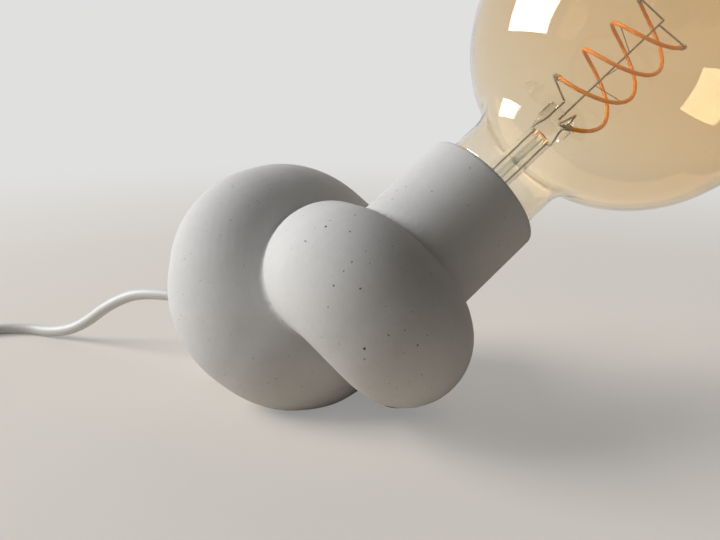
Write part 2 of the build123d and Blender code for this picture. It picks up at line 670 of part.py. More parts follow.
# Inline switch: its frame lies on the table, X along the cord
switch_middle = corner + switch_way * (SWITCH_AT + SWITCH_L / 2)
SWITCH = Plane((switch_middle.X, switch_middle.Y, 0), x_dir=switch_way, z_dir=(0, 0, 1))
half_l = SWITCH_L / 2
ends = [(half_l, SWITCH_END_W / 2), (half_l, -SWITCH_END_W / 2)]
outline = make_face(
    [
        ThreePointArc((-half_l, SWITCH_END_W / 2), (0, SWITCH_W / 2), ends[0]),
        Line(*ends),
        ThreePointArc(ends[1], (0, -SWITCH_W / 2), (-half_l, -SWITCH_END_W / 2)),
        Line((-half_l, -SWITCH_END_W / 2), (-half_l, SWITCH_END_W / 2)),
    ]
)
housing = extrude(outline, SWITCH_H)
profile = [(-half_l, 0), (half_l, 0), (half_l, SWITCH_END_H), (SWITCH_FLAT / 2, SWITCH_H)]
profile += [(-SWITCH_FLAT / 2, SWITCH_H), (-half_l, SWITCH_END_H)]
profile = make_face(Polyline(*[(x, 0, z) for x, z in profile], close=True))
housing = housing & extrude(profile, SWITCH_W, dir=(0, 1, 0), both=True)
for side in (-1, 1):
    grip = Plane((side * half_l, 0, SWITCH_AXIS_H), z_dir=(-side, 0, 0))
    housing -= grip * rod(CORD_R + GRIP_GAP, -CUT, CORD_GRIP)
    screw_room = rod(HOUSING_SCREW[0] / 2 + FIT, 0, HOUSING_SCREW[3] + FIT)
    screw_room += rod(HOUSING_SCREW[1] / 2 + FIT, -CUT, HOUSING_SCREW[2])
    housing -= Pos(side * HOUSING_SCREW_AT, 0, 0) * screw_room
pocket = (ROCKER_L + 2 * ROCKER_GAP, ROCKER_W + 2 * ROCKER_SIDE_GAP)
pocket_low = SWITCH_AXIS_H + POCKET_FLOOR
housing -= Pos(0, 0, (pocket_low + 2 * SWITCH_H) / 2) * Box(*pocket, 2 * SWITCH_H - pocket_low)
pivot = Plane((0, 0, ROCKER_PIVOT_H), z_dir=(0, 1, 0))
pin_half = pocket[1] / 2 + PIN_SEAT
housing -= pivot * rod(PIN_D / 2 + FIT / 2, -pin_half, pin_half)
lower = Pos(0, 0, SWITCH_AXIS_H / 2) * Box(2 * SWITCH_L, 2 * SWITCH_W, SWITCH_AXIS_H)
nodes["switch_base"] = SWITCH * (housing & lower)
nodes["switch_cover"] = SWITCH * (housing - lower)
nodes["rocker_pin"] = SWITCH * pivot * rod(PIN_D / 2, -pin_half, pin_half)
screw = rod(HOUSING_SCREW[0] / 2, HOUSING_SCREW[2], HOUSING_SCREW[3])
screw += rod(HOUSING_SCREW[1] / 2, FIT, HOUSING_SCREW[2])
nodes["switch_screws"] = SWITCH * Compound([Pos(side * HOUSING_SCREW_AT, 0, 0) * screw for side in (-1, 1)])

# The rocker's two wings rise from the middle. It rests with its first wing down.
rise = ROCKER_L / 2 * math.tan(math.radians(ROCKER_TILT))
wings = [(0, SWITCH_H), (ROCKER_L / 2, SWITCH_H + rise), (ROCKER_L / 2, SWITCH_H + rise - ROCKER_T)]
wings += [(ROCKER_HUB_D / 2, SWITCH_H - ROCKER_T), (-ROCKER_HUB_D / 2, SWITCH_H - ROCKER_T)]
wings += [(-ROCKER_L / 2, SWITCH_H + rise - ROCKER_T), (-ROCKER_L / 2, SWITCH_H + rise)]
rocker = make_face(Polyline(*[(x, 0, z) for x, z in wings], close=True))
rocker = extrude(rocker, ROCKER_W / 2, dir=(0, 1, 0), both=True)
hub_h = SWITCH_H - ROCKER_T / 2 - ROCKER_PIVOT_H
rocker += Pos(0, 0, ROCKER_PIVOT_H + hub_h / 2) * Box(ROCKER_HUB_D, ROCKER_W, hub_h)
hub = pivot * rod(ROCKER_HUB_D / 2, -ROCKER_W / 2, ROCKER_W / 2)
above_floor = Pos(0, 0, pocket_low + ROCKER_SIDE_GAP + SWITCH_H) * Box(SWITCH_L, SWITCH_W, 2 * SWITCH_H)
rocker += hub & above_floor
rocker -= pivot * rod(PIN_D / 2 + FIT, -ROCKER_W, ROCKER_W)
rocker = Pos(0, 0, ROCKER_PIVOT_H) * Rot(0, -ROCKER_TILT, 0) * Pos(0, 0, -ROCKER_PIVOT_H) * rocker
nodes["switch_rocker"] = SWITCH * rocker

# Coil: it winds in on the lower layer, climbs in half a turn and winds out on the upper one
coil_start = corner + switch_way * (SWITCH_AT + SWITCH_L + LINK_L)
right = Vector(switch_way.Y, -switch_way.X, 0)
COIL_MIDDLE = Vector(coil_start.X, coil_start.Y, 0) + right * COIL_R
COIL_PITCH = CORD_D + COIL_GAP
COIL_LOW = CORD_R + TIE_T + TIE_GAP
start_angle = math.atan2(-right.Y, -right.X)
reverse = math.pi * COIL_TURNS
COIL_STEPS = round(4 * COIL_TURNS)


def coil_line(angle):
    past = abs(angle - reverse)
    climb = min(max((angle - reverse) / math.pi + 0.5, 0), 1)
    if past < math.pi / 2:
        past = past**2 / math.pi + math.pi / 4
    radius = COIL_R - COIL_PITCH * (reverse - past) / (2 * math.pi)
    height = COIL_LOW + COIL_PITCH * climb**2 * (3 - 2 * climb)
    turn = start_angle - angle
    return COIL_MIDDLE + Vector(radius * math.cos(turn), radius * math.sin(turn), height)


coil_stop = 2 * reverse
nodes["cord_coil"] = wound(coil_line, 0, coil_stop, COIL_STEPS, CORD_D, ends=CORD_D)
samples = [coil_line(coil_stop * i / COIL_SAMPLES) for i in range(COIL_SAMPLES + 1)]
apart = round(COIL_SAMPLES / COIL_TURNS / 2)
near = min((p - q).length for i, p in enumerate(samples) for q in samples[i + apart :])
spacing = [(q - p).length for p, q in zip(samples, samples[1:])]
print("coil", round(sum(spacing), 1), "mm, least gap to itself", round(near - CORD_D, 2), "mm")

# Link from the switch down to the coil, and the tail from the coil to the plug
first_way = (coil_line(0.001) - coil_line(-0.001)).normalized()
coil_in = coil_line(0) - first_way * CORD_D
switch_out = switch_middle + switch_way * (half_l - CORD_GRIP)
link_points = [Vector(switch_out.X, switch_out.Y, SWITCH_AXIS_H)]
link_points.append(link_points[0] + switch_way * (CORD_GRIP + LINK_L / 6))
link_points.append(coil_in - first_way * (LINK_L / 3))
link_points.append(coil_in)
nodes["cord_link"] = cord(link_points, CORD_D)

last_way = (coil_line(coil_stop) - coil_line(coil_stop - 0.001)).normalized()
coil_out = coil_line(coil_stop) + last_way * CORD_D
plug_way = Vector(last_way.X, last_way.Y, 0).normalized()
tail_points = [coil_out]
for along, share in TAIL:
    height = coil_out.Z + (PLUG_H / 2 - coil_out.Z) * share
    tail_points.append(Vector(coil_out.X, coil_out.Y, height) + plug_way * along)
tail_points.append(tail_points[-1] + plug_way * TAIL[0][0])
nodes["cord_tail"] = cord(tail_points, CORD_D)

# The tie is a flat band round all turns
tie_low = COIL_R - COIL_PITCH * COIL_TURNS / 2 - CORD_R - TIE_GAP
tie_high = COIL_R + CORD_R + TIE_GAP
tie_h = 2 * CORD_D + COIL_GAP + 2 * TIE_GAP
tie_middle = ((tie_low + tie_high) / 2, TIE_T + tie_h / 2)
tie_corner = CORD_R
hole = RectangleRounded(tie_high - tie_low, tie_h, tie_corner)
band = RectangleRounded(tie_high - tie_low + 2 * TIE_T, tie_h + 2 * TIE_T, tie_corner + TIE_T) - hole
TIE = Plane((tie_middle[0], 0, tie_middle[1]), x_dir=(1, 0, 0), z_dir=(0, -1, 0))
band = extrude(TIE * band, TIE_W / 2, both=True)
nodes["coil_tie"] = Pos(COIL_MIDDLE.X, COIL_MIDDLE.Y, 0) * Rot(0, 0, TIE_ANGLE) * band

# Plug: its frame lies on the table at the rear of its body, X towards the pins
plug_tail = tail_points[-1]
plug_rear = plug_tail + plug_way * (PLUG_RELIEF_L - CORD_D)
PLUG = Plane((plug_rear.X, plug_rear.Y, 0), x_dir=plug_way, z_dir=(0, 0, 1))
half = [(0, PLUG_REAR_W / 2), (PLUG_WAIST[0], PLUG_WAIST[1] / 2)]
half += [(PLUG_WIDEST, PLUG_W / 2), (PLUG_L, PLUG_FRONT_W / 2)]
plan = half + [(x, -y) for x, y in reversed(half)]
plug = extrude(make_face(Polyline(*plan, close=True)), PLUG_H)
plug = fillet(plug.edges().filter_by(Axis.Z), PLUG_ROUND)
levels = plug.faces().sort_by(Axis.Z)
plug = chamfer(levels[0].edges() + levels[-1].edges(), PLUG_ROUND / 2)
pins = []
sleeves = []
for side in (-1, 1):
    axis = Plane((PLUG_L, side * PLUG_PIN_SPACING / 2, PLUG_H / 2), z_dir=(1, 0, 0))
    core = SLEEVE_D / 2 - SLEEVE_T
    pin = rod(core - FIT, -PLUG_PIN_SEAT, SLEEVE_L) + rod(PLUG_PIN_D / 2, SLEEVE_L, PLUG_PIN_L)
    pin = fillet(pin.edges().sort_by(Axis.Z)[-1], PLUG_PIN_D / 4)
    pins.append(axis * pin)
    sleeves.append(axis * ring(core, SLEEVE_D / 2, 0, SLEEVE_L))
    plug -= axis * rod(core, -PLUG_PIN_SEAT, CUT)
entry = Plane((0, 0, PLUG_H / 2), z_dir=(-1, 0, 0))
nodes["plug_body"] = PLUG * plug
nodes["plug_pins"] = PLUG * Compound(pins)
nodes["pin_sleeves"] = PLUG * Compound(sleeves)
plug_sleeve = ribbed(PLUG_RELIEF_L, PLUG_RELIEF_D[0] / 2, PLUG_RELIEF_D[1] / 2, CORD_R + FIT)
nodes["plug_relief"] = PLUG * entry * plug_sleeve

os.makedirs("parts", exist_ok=True)
for name, shape in nodes.items():
    export_step(shape, f"parts/{name}.step")
print(len(nodes), "nodes")
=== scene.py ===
import math

import bmesh
import bpy
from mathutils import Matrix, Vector


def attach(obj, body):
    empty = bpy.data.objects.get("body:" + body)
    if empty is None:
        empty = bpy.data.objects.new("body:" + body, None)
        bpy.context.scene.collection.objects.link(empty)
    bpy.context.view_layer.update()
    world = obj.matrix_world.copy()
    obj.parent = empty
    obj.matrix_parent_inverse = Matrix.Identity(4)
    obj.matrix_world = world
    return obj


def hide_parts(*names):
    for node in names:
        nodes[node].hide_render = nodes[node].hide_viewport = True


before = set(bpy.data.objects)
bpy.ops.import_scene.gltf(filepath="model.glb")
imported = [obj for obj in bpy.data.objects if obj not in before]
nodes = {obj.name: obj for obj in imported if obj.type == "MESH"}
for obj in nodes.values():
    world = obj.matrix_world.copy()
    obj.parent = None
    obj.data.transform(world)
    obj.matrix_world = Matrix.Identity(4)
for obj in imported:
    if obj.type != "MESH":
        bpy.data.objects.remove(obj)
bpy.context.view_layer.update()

# Concrete body: one fat tube tied in an overhand knot, cast in fine light-grey concrete.
# The mould leaves a matte face with sand grain, a cloudy tone and small open air holes; the holes carry
# painted shade.
# Its two ends keep their solids, and one seamless mesh shows the casting between them.


class Socket:
    """An output of a material's nodes. Arithmetic on it adds Math nodes."""

    def __init__(self, tree, socket):
        self.tree = tree
        self.socket = socket

    def node(self, kind, settings, inputs, output=0):
        """Adds any node: its settings first, then the values or links of its sockets."""
        made = self.tree.nodes.new(kind)
        for name, value in settings.items():
            setattr(made, name, value)
        for key, value in inputs.items():
            if isinstance(value, Socket):
                self.tree.links.new(value.socket, made.inputs[key])
            else:
                made.inputs[key].default_value = value
        return Socket(self.tree, made.outputs[output])

    def math(self, operation, a, b):
        return self.node("ShaderNodeMath", {"operation": operation}, {0: a, 1: b})

    def __add__(self, other):
        return self.math("ADD", self, other)

    def __radd__(self, other):
        return self.math("ADD", other, self)

    def __sub__(self, other):
        return self.math("SUBTRACT", self, other)

    def __rsub__(self, other):
        return self.math("SUBTRACT", other, self)

    def __mul__(self, other):
        return self.math("MULTIPLY", self, other)

    def __rmul__(self, other):
        return self.math("MULTIPLY", other, self)

    def above(self, level, blur):
        """0 where the value is under the level, 1 where it is over it, with a soft step between."""
        stops = {1: level - blur, 2: level + blur, 3: 0.0, 4: 1.0}
        return self.node("ShaderNodeMapRange", {"interpolation_type": "SMOOTHSTEP"}, {0: self, **stops})

    def noise(self, grain, detail=3.0, roughness=0.55):
        """Cloudy values from 0 to 1, with grains of the given size in metres."""
        inputs = {"Vector": self, "Scale": 1 / grain, "Detail": detail, "Roughness": roughness}
        return self.node("ShaderNodeTexNoise", {}, inputs)

    def cells(self, spacing, output):
        """The distance to the nearest of scattered points, or that point's random colour."""
        return self.node("ShaderNodeTexVoronoi", {}, {"Vector": self, "Scale": 1 / spacing}, output)

    def tint(self, low, high):
        """A colour between two, by this value. The low one may vary by itself."""
        if not isinstance(low, Socket):
            low = (*low, 1.0)
        return self.node("ShaderNodeMix", {"data_type": "RGBA"}, {0: self, 6: low, 7: (*high, 1.0)}, 2)

    def bump(self, height):
        """Surface relief of this value times a height in metres."""
        return self.node("ShaderNodeBump", {}, {"Strength": 1.0, "Distance": height, "Height": self})

    def feed(self, shader, name):
        self.tree.links.new(self.socket, shader.inputs[name])


def finish(name, **constants):
    """A new material. Gives it, its shader and the place on the surface, in metres."""
    material = bpy.data.materials.new(name)
    material.use_nodes = True
    tree = material.node_tree
    shader = tree.nodes["Principled BSDF"]
    for key, value in constants.items():
        shader.inputs[key.replace("_", " ")].default_value = value
    place = Socket(tree, tree.nodes.new("ShaderNodeTexCoord").outputs["Object"])
    return material, shader, place


def dress(material, *names):
    """Gives a finish to nodes of the frame."""
    for name in names:
        nodes[name].data.materials.clear()
        nodes[name].data.materials.append(material)


CONCRETE_DARK = (0.50, 0.496, 0.49)
CONCRETE_PALE = (0.67, 0.667, 0.66)
# Painted shade: the near-black colour inside the air holes and pores
CONCRETE_HOLE_SHADE = (0.10, 0.095, 0.09)
CONCRETE_ROUGH = 0.86
SAND = 0.0009  # size of the grains
MOTTLE = 4 * SAND
CLOUD = 0.035
CLOUD_SHARE, MOTTLE_SHARE, SAND_SHARE = 0.4, 0.3, 0.3  # of each in the tone
SAND_ROUGH, CLOUD_GLOSS = 0.1, 0.05  # what sand adds to the roughness, and clouds take from it
GRAIN_RELIEF = 0.12  # of sand and mottle, against the depth of the holes
HOLE_DEPTH = 0.0003
PORES = [(0.0030, 0.0002, 0.35), (0.011, 0.00026, 0.65)]  # spacing, radius and share left out
PORE_DEPTH = 0.75  # against the larger holes
PORE_CHANCE_BLUR = 0.01
PORE_EDGE, HOLE_EDGE = 0.45, 0.35  # softness of their edges, as a share of the radius
# The larger air holes, on the front: place and radius
AIR_HOLES = [
    ((-0.0824, -0.0355, 0.0779), 0.0004),
    ((-0.0802, -0.0338, 0.0795), 0.00022),
    ((-0.0772, -0.0427, 0.0770), 0.00026),
    ((-0.0721, -0.0358, 0.0809), 0.00024),
    ((-0.0889, -0.0334, 0.0733), 0.00024),
    ((-0.0862, -0.0499, 0.0619), 0.00026),
    ((-0.0797, -0.0554, 0.0615), 0.00026),
    ((-0.0789, -0.0568, 0.0424), 0.0004),
    ((-0.0784, -0.0557, 0.0385), 0.00022),
    ((-0.0728, -0.0612, 0.0472), 0.00024),
    ((-0.0636, -0.0633, 0.0433), 0.00028),
]
SOLID_ENDS = ("concrete_socket", "concrete_cord_end")

concrete, shader, place = finish("cast_concrete", Specular_IOR_Level=0.35)
clouds = place.noise(CLOUD, detail=4.0)
sand = place.noise(SAND, detail=2.0, roughness=0.7)
mottle = place.noise(MOTTLE, detail=2.0)
tone = CLOUD_SHARE * clouds + MOTTLE_SHARE * mottle + SAND_SHARE * sand
hole_depth_and_shade = 0.0
for spacing, radius, left_out in PORES:
    distance = place.cells(spacing, "Distance") * spacing
    chance = place.node("ShaderNodeSeparateColor", {}, {0: place.cells(spacing, "Color")})
    open_here = chance.above(left_out, PORE_CHANCE_BLUR) * PORE_DEPTH
    hole_depth_and_shade = hole_depth_and_shade + open_here * (1 - distance.above(radius, radius * PORE_EDGE))
for point, radius in AIR_HOLES:
    distance = place.node("ShaderNodeVectorMath", {"operation": "DISTANCE"}, {0: place, 1: point}, "Value")
    hole_depth_and_shade = hole_depth_and_shade + (1 - distance.above(radius, radius * HOLE_EDGE))
# The same mask dents the surface and paints the holes dark: painted shade inside each hole.
hole_depth_and_shade.tint(tone.tint(CONCRETE_DARK, CONCRETE_PALE), CONCRETE_HOLE_SHADE).feed(shader, "Base Color")
(CONCRETE_ROUGH + SAND_ROUGH * sand - CLOUD_GLOSS * clouds).feed(shader, "Roughness")
relief = GRAIN_RELIEF * sand + GRAIN_RELIEF * mottle - hole_depth_and_shade
relief.bump(HOLE_DEPTH).feed(shader, "Normal")
dress(concrete, *SOLID_ENDS)

TUBE_R = 0.025
TUBE_STEPS = 22  # fineness of its round
BEND_SHARE = 0.43  # share of the shorter run that each bend takes up
BEND_STEP = math.radians(4)
RIM = Vector((-0.0115, -0.018, 0.082))
SOCKET_AXIS = Vector((0.795473, 0.0, 0.605988))
SOCKET_L = 0.03217  # length of the straight socket end
SOCKET_RUN = 0.052  # from the rim to the first corner
LAP = 0.004  # the body starts this far inside the socket end
LAP_THIN = 0.984  # and is thinner there, as a share of its radius
CUP_R = 0.0210
CUP_DEPTH = 0.050
CUP_SIDES = 96
GROUND = 0.0015  # height of the ground flats over the floor
# Corners of the tube's middle line: down behind the front, round the left loop, behind the socket
# end, up over the front and down through the loop
KNOT = [
    (-0.0400, 0.0220, 0.0280),
    (-0.0780, 0.0070, 0.0210),
    (-0.0975, 0.0218, 0.0369),
    (-0.0884, 0.0402, 0.0612),
    (-0.0590, 0.0510, 0.0655),
    (-0.0335, 0.0465, 0.0420),
    (-0.0325, 0.0225, 0.0240),
    (-0.0440, -0.0210, 0.0290),
    (-0.0590, -0.0410, 0.0425),
    (-0.0715, -0.0330, 0.0580),
    (-0.0695, -0.0103, 0.0564),
    (-0.0590, 0.0126, 0.0530),
    (-0.0580, 0.0270, 0.0380),
]
VOXEL = 0.0008
SMOOTHING = {"factor": 0.5, "iterations": 3}


def placed(name, data):
    """A new object in the scene, with this mesh, curve, light or camera."""
    piece = bpy.data.objects.new(name, data)
    bpy.context.scene.collection.objects.link(piece)
    return piece


def tube(name, kind, points, radius, steps):
    """A round tube with closed ends along a spline through or near these points."""
    curve = bpy.data.curves.new(name, "CURVE")
    curve.dimensions = "3D"
    curve.bevel_depth = radius
    curve.bevel_resolution = steps
    curve.use_fill_caps = True
    spline = curve.splines.new(kind)
    spline.points.add(len(points) - 1)
    for control, point in zip(spline.points, points):
        control.co = (*point, 1.0)
    return placed(name, curve), spline


def rounded_line(corners):
    """The corners' line from end to end, each corner a tangent arc."""
    line = [corners[0]]
    for a, b, c in zip(corners, corners[1:], corners[2:]):
        way, onward = (b - a).normalized(), (c - b).normalized()
        turn = way.angle(onward)
        reach = BEND_SHARE * min((b - a).length, (c - b).length)
        radius = reach / math.tan(turn / 2)
        inward = (onward - way * way.dot(onward)).normalized()
        steps = math.ceil(turn / BEND_STEP)
        for i in range(steps + 1):
            angle = turn * i / steps
            before = reach - radius * math.sin(angle)
            aside = radius * (1 - math.cos(angle))
            line.append(b - way * before + inward * aside)
    return line + [corners[-1]]


def applied(piece, *modifiers):
    """A piece of the same name, whose mesh has these modifiers applied."""
    for kind, settings in modifiers:
        modifier = piece.modifiers.new(kind.lower(), kind)
        for key, value in settings.items():
            setattr(modifier, key, value)
    name = piece.name
    shown = piece.evaluated_get(bpy.context.evaluated_depsgraph_get())
    mesh = bpy.data.meshes.new_from_object(shown)
    bpy.data.objects.remove(piece)
    return placed(name, mesh)


def keep_largest(mesh):
    """Deletes the small shells that the voxels leave inside, where strands cross."""
    shape = bmesh.new()
    shape.from_mesh(mesh)
    waiting = set(shape.verts)
    shells = []
    while waiting:
        shell = [waiting.pop()]
        for vertex in shell:
            found = {edge.other_vert(vertex) for edge in vertex.link_edges} & waiting
            waiting -= found
            shell.extend(found)
        shells.append(shell)
    shells.sort(key=len)
    stray = [vertex for shell in shells[:-1] for vertex in shell]
    bmesh.ops.delete(shape, geom=stray, context="VERTS")
    shape.to_mesh(mesh)
    shape.free()


socket_end = RIM - SOCKET_AXIS * SOCKET_L
corners = [socket_end, RIM - SOCKET_AXIS * SOCKET_RUN, *[Vector(corner) for corner in KNOT]]
line = [RIM - SOCKET_AXIS * (SOCKET_L - LAP), *rounded_line(corners)]
body, spline = tube("concrete_body", "POLY", line, TUBE_R, TUBE_STEPS)
spline.points[0].radius = LAP_THIN
body = applied(body)
remesh = ("REMESH", {"mode": "VOXEL", "voxel_size": VOXEL, "use_smooth_shade": True})
body = applied(body, remesh, ("SMOOTH", SMOOTHING))
keep_largest(body.data)
for vertex in body.data.vertices:
    vertex.co.z = max(vertex.co.z, GROUND)
bpy.ops.mesh.primitive_cylinder_add(vertices=CUP_SIDES, radius=CUP_R, depth=2 * CUP_DEPTH, location=RIM)
cup = bpy.context.object
cup.rotation_mode = "QUATERNION"
cup.rotation_quaternion = SOCKET_AXIS.to_track_quat("Z", "Y")
body = applied(body, ("BOOLEAN", {"operation": "DIFFERENCE", "object": cup, "solver": "EXACT"}))
bpy.data.objects.remove(cup)
body.data.materials.clear()
body.data.materials.append(concrete)
body.data.shade_smooth()
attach(body, "lamp_body")
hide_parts(*[name for name in nodes if name.startswith("concrete") and name not in SOLID_ENDS])

# Feet: four small pads of soft dark rubber, which keep the rough casting off the ground.
# Each is moulded, and glued on a ground flat under the knot.
CLOUD_GRAINS = 40  # size of a moulding's clouds, in grains
MOULDED_SPREAD = 0.12  # how far a moulding's roughness varies


def moulded(name, low, high, roughness, grain, height, **constants):
    """A moulded plastic or rubber: slightly cloudy colour with a fine surface grain."""
    material, shader, place = finish(name, **constants)
    fine = place.noise(grain, detail=2.0)
    (0.5 * fine + 0.5 * place.noise(grain * CLOUD_GRAINS)).tint(low, high).feed(shader, "Base Color")
    (roughness - MOULDED_SPREAD / 2 + MOULDED_SPREAD * fine).feed(shader, "Roughness")
    fine.bump(height).feed(shader, "Normal")
    return material


rubber = moulded(
    "foot_rubber", (0.025, 0.025, 0.026), (0.05, 0.05, 0.052), roughness=0.8, grain=0.0004, height=0.00005
)
dress(rubber, "foot_pad_1", "foot_pad_2", "foot_pad_3", "foot_pad_4")

# Nipple, nut and screws: zinc-plated steel, turned and rolled, with fine machining lines.
# The nut draws the lampholder down on the cup's floor, and the screws clamp wires and switch.
LINE_STRETCH = (1.0, 1.0, 9.0)  # the lines are this much finer along the height
LINE_DEPTH = 0.00001
LINE_SHARE = 0.35  # of the lines in the colour, beside the tarnish
LINE_ROUGH, TARNISH_ROUGH = 0.1, 0.08
TARNISH_GRAINS = 30  # size of the tarnish, in grains


def metal(name, low, high, roughness, grain):
    """A bare or plated metal with faint lines and tarnish."""
    material, shader, place = finish(name, Metallic=1.0)
    drawn = place.node("ShaderNodeVectorMath", {"operation": "MULTIPLY"}, {0: place, 1: LINE_STRETCH})
    lines = drawn.noise(grain, detail=2.0)
    tarnish = place.noise(grain * TARNISH_GRAINS)
    (LINE_SHARE * lines + (1 - LINE_SHARE) * tarnish).tint(low, high).feed(shader, "Base Color")
    spread = roughness - LINE_ROUGH / 2 + LINE_ROUGH * lines + TARNISH_ROUGH * tarnish
    spread.feed(shader, "Roughness")
    lines.bump(LINE_DEPTH).feed(shader, "Normal")
    return material


zinc = metal("zinc_plate", (0.50, 0.50, 0.50), (0.66, 0.66, 0.65), roughness=0.34, grain=0.0004)
dress(zinc, "threaded_nipple", "lock_nut", "terminal_screws", "switch_screws", "rocker_pin")

# Lampholder: a black moulded cap and skirt, a white porcelain insert and brass contacts.
# The parts stack on the nipple, and the skirt holds the insert down in the cap.
phenolic = moulded(
    "phenolic", (0.012, 0.012, 0.012), (0.022, 0.021, 0.02), roughness=0.38, grain=0.0006, height=0.00002
)
dress(phenolic, "holder_cap", "holder_skirt")
porcelain = moulded(
    "porcelain",
    (0.72, 0.71, 0.67),
    (0.80, 0.79, 0.76),
    roughness=0.16,
    grain=0.002,
    height=0.00001,
    Coat_Weight=0.5,
)
dress(porcelain, "holder_insert")
brass = metal("brass", (0.55, 0.38, 0.14), (0.74, 0.56, 0.25), roughness=0.28, grain=0.0004)
dress(brass, "screw_shell", "centre_contact", "live_terminal", "neutral_terminal", "contact_rivets")
brown = moulded(
    "brown_insulation", (0.10, 0.045, 0.02), (0.14, 0.06, 0.03), roughness=0.45, grain=0.0008, height=0.00001
)
dress(brown, "live_conductor")
blue = moulded(
    "blue_insulation", (0.02, 0.07, 0.25), (0.03, 0.09, 0.32), roughness=0.45, grain=0.0008, height=0.00001
)
dress(blue, "neutral_conductor")

# Mains cord: a round white PVC sheath, drawn through the cast duct and out of a ribbed relief.
# It drops to the floor, lies in a bow to its switch, and the rest is wound and tied.
CORD_D = 0.0052
CORD_STEPS = 5  # fineness of its round
CORD_ORDER = 3  # of its spline
CORD_FINENESS = 8  # points between two control points
EXIT = (-0.0972162, 0.0784377, 0.0278329)
LEAD = [
    EXIT,
    (-0.1131082, 0.0963802, 0.0290632),
    (-0.1264125, 0.1114012, 0.0218),
    (-0.1396732, 0.1263729, 0.0072),
    (-0.1502817, 0.1383503, 0.0026),
    (-0.1620, 0.1520, 0.0026),
    (-0.1805, 0.1570, 0.0026),
    (-0.1985, 0.1515, 0.0026),
    (-0.2095858, 0.1386119, 0.002925),
    (-0.2200196, 0.1264818, 0.0085),
    (-0.2311054, 0.1135937, 0.0085),
]
SWITCH_OUT = (-0.2532771, 0.0878174, 0.0085)
LINK = [
    SWITCH_OUT,
    (-0.265015, 0.0741712, 0.0085),
    (-0.2730664, 0.0642069, 0.004),
    (-0.281098, 0.055291, 0.004),
]
COIL_MIDDLE = Vector((-0.3156615, 0.0781638, 0.0))
COIL_R = 0.041
COIL_TURNS = 8.387
COIL_PITCH = 0.0059
COIL_LOW = 0.004
COIL_START = math.atan2(-0.6521, 0.7581)  # direction in which the link comes to the coil's edge
COIL_STEPS = 24  # points in each turn
TAIL = [
    (-0.3567812, 0.0833773, 0.0099),
    (-0.3569425, 0.0903754, 0.0099),
    (-0.3571037, 0.0973736, 0.00866),
    (-0.357288, 0.1053715, 0.0068),
    (-0.3574492, 0.1123696, 0.0068),
]

sheath = moulded(
    "cord_sheath", (0.60, 0.60, 0.59), (0.66, 0.66, 0.65), roughness=0.42, grain=0.0009, height=0.00003
)
dress(sheath, "cord_in_duct")


def coil_point(angle):
    """The coil winds in on the lower layer, climbs in half a turn and winds out on the upper one."""
    reverse = math.pi * COIL_TURNS
    past = abs(angle - reverse)
    climb = min(max((angle - reverse) / math.pi + 0.5, 0), 1)
    if past < math.pi / 2:
        past = past**2 / math.pi + math.pi / 4
    radius = COIL_R - COIL_PITCH * (reverse - past) / (2 * math.pi)
    height = COIL_LOW + COIL_PITCH * climb**2 * (3 - 2 * climb)
    turn = COIL_START - angle
    return COIL_MIDDLE + Vector((radius * math.cos(turn), radius * math.sin(turn), height))


def round_cord(name, points):
    """A round cord on one smooth spline with these control points."""
    piece, spline = tube(name, "NURBS", points, CORD_D / 2, CORD_STEPS)
    spline.order_u = CORD_ORDER
    spline.use_endpoint_u = True
    spline.resolution_u = CORD_FINENESS
    spline.use_smooth = True
    piece.data.materials.append(sheath)
    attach(piece, "lamp_body")
    return piece


coil_angles = [2 * math.pi * i / COIL_STEPS for i in range(round(COIL_TURNS * COIL_STEPS) + 1)]
lead_cord = round_cord("lead_cord", LEAD)
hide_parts("cord_lead")
stowed_cord = round_cord("stowed_cord", LINK + [coil_point(a) for a in coil_angles] + TAIL)
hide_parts("cord_link", "cord_coil", "cord_tail")

# Strain relief, inline switch and plug: glossy white moulded plastic with a fine spark texture.
# The relief is pushed into the concrete, and two screws hold the switch's halves together.
white = moulded(
    "white_plastic", (0.64, 0.64, 0.62), (0.70, 0.70, 0.68), roughness=0.36, grain=0.0005, height=0.00004
)
dress(white, "cord_relief", "switch_base", "switch_cover", "switch_rocker", "plug_body", "plug_relief")
nickel = metal("nickel_plate", (0.60, 0.58, 0.53), (0.74, 0.72, 0.67), roughness=0.22, grain=0.0004)
dress(nickel, "plug_pins")
sleeve = moulded(
    "pin_sleeve", (0.03, 0.03, 0.03), (0.05, 0.05, 0.05), roughness=0.5, grain=0.0006, height=0.00002
)
dress(sleeve, "pin_sleeves")

# Cord tie: a woven pale strap that holds the coil's turns together.
# It is wrapped once round all of them, and its end is pressed down on itself.
TIE_PALE = (0.62, 0.62, 0.60)
# Painted shade: the colour in the hollows between the threads
TIE_WEAVE_SHADE = (0.36, 0.36, 0.35)
TIE_ROUGH, THREAD_ROUGH = 0.85, 0.1
THREAD = 0.0007
THREAD_DEPTH = 0.0002
TIE_ANGLE = math.radians(60)
TIE_INNER = (0.01346, 0.0438)  # nearest and farthest from the coil's middle
TIE_LOW = 0.0012  # its inside over the floor
TIE_HEIGHT = 0.0115
TIE_T = 0.0011
TIE_W = 0.006
TIE_CORNER = 0.0026
TIE_CORNER_STEPS = 8
TIE_OVERLAP = 0.6  # share of the top run that lies double
TAB_STEPS = 6
# The strap's section: across and outwards, as shares of its width and thickness
TIE_SECTION = [
    (-0.5, 0.25),
    (-0.42, 0.0),
    (0.42, 0.0),
    (0.5, 0.25),
    (0.5, 0.75),
    (0.42, 1.0),
    (-0.42, 1.0),
    (-0.5, 0.75),
]

tie_middle = Vector(((TIE_INNER[0] + TIE_INNER[1]) / 2, 0, TIE_LOW + TIE_HEIGHT / 2))
half_run = (TIE_INNER[1] - TIE_INNER[0]) / 2 - TIE_CORNER
half_rise = TIE_HEIGHT / 2 - TIE_CORNER


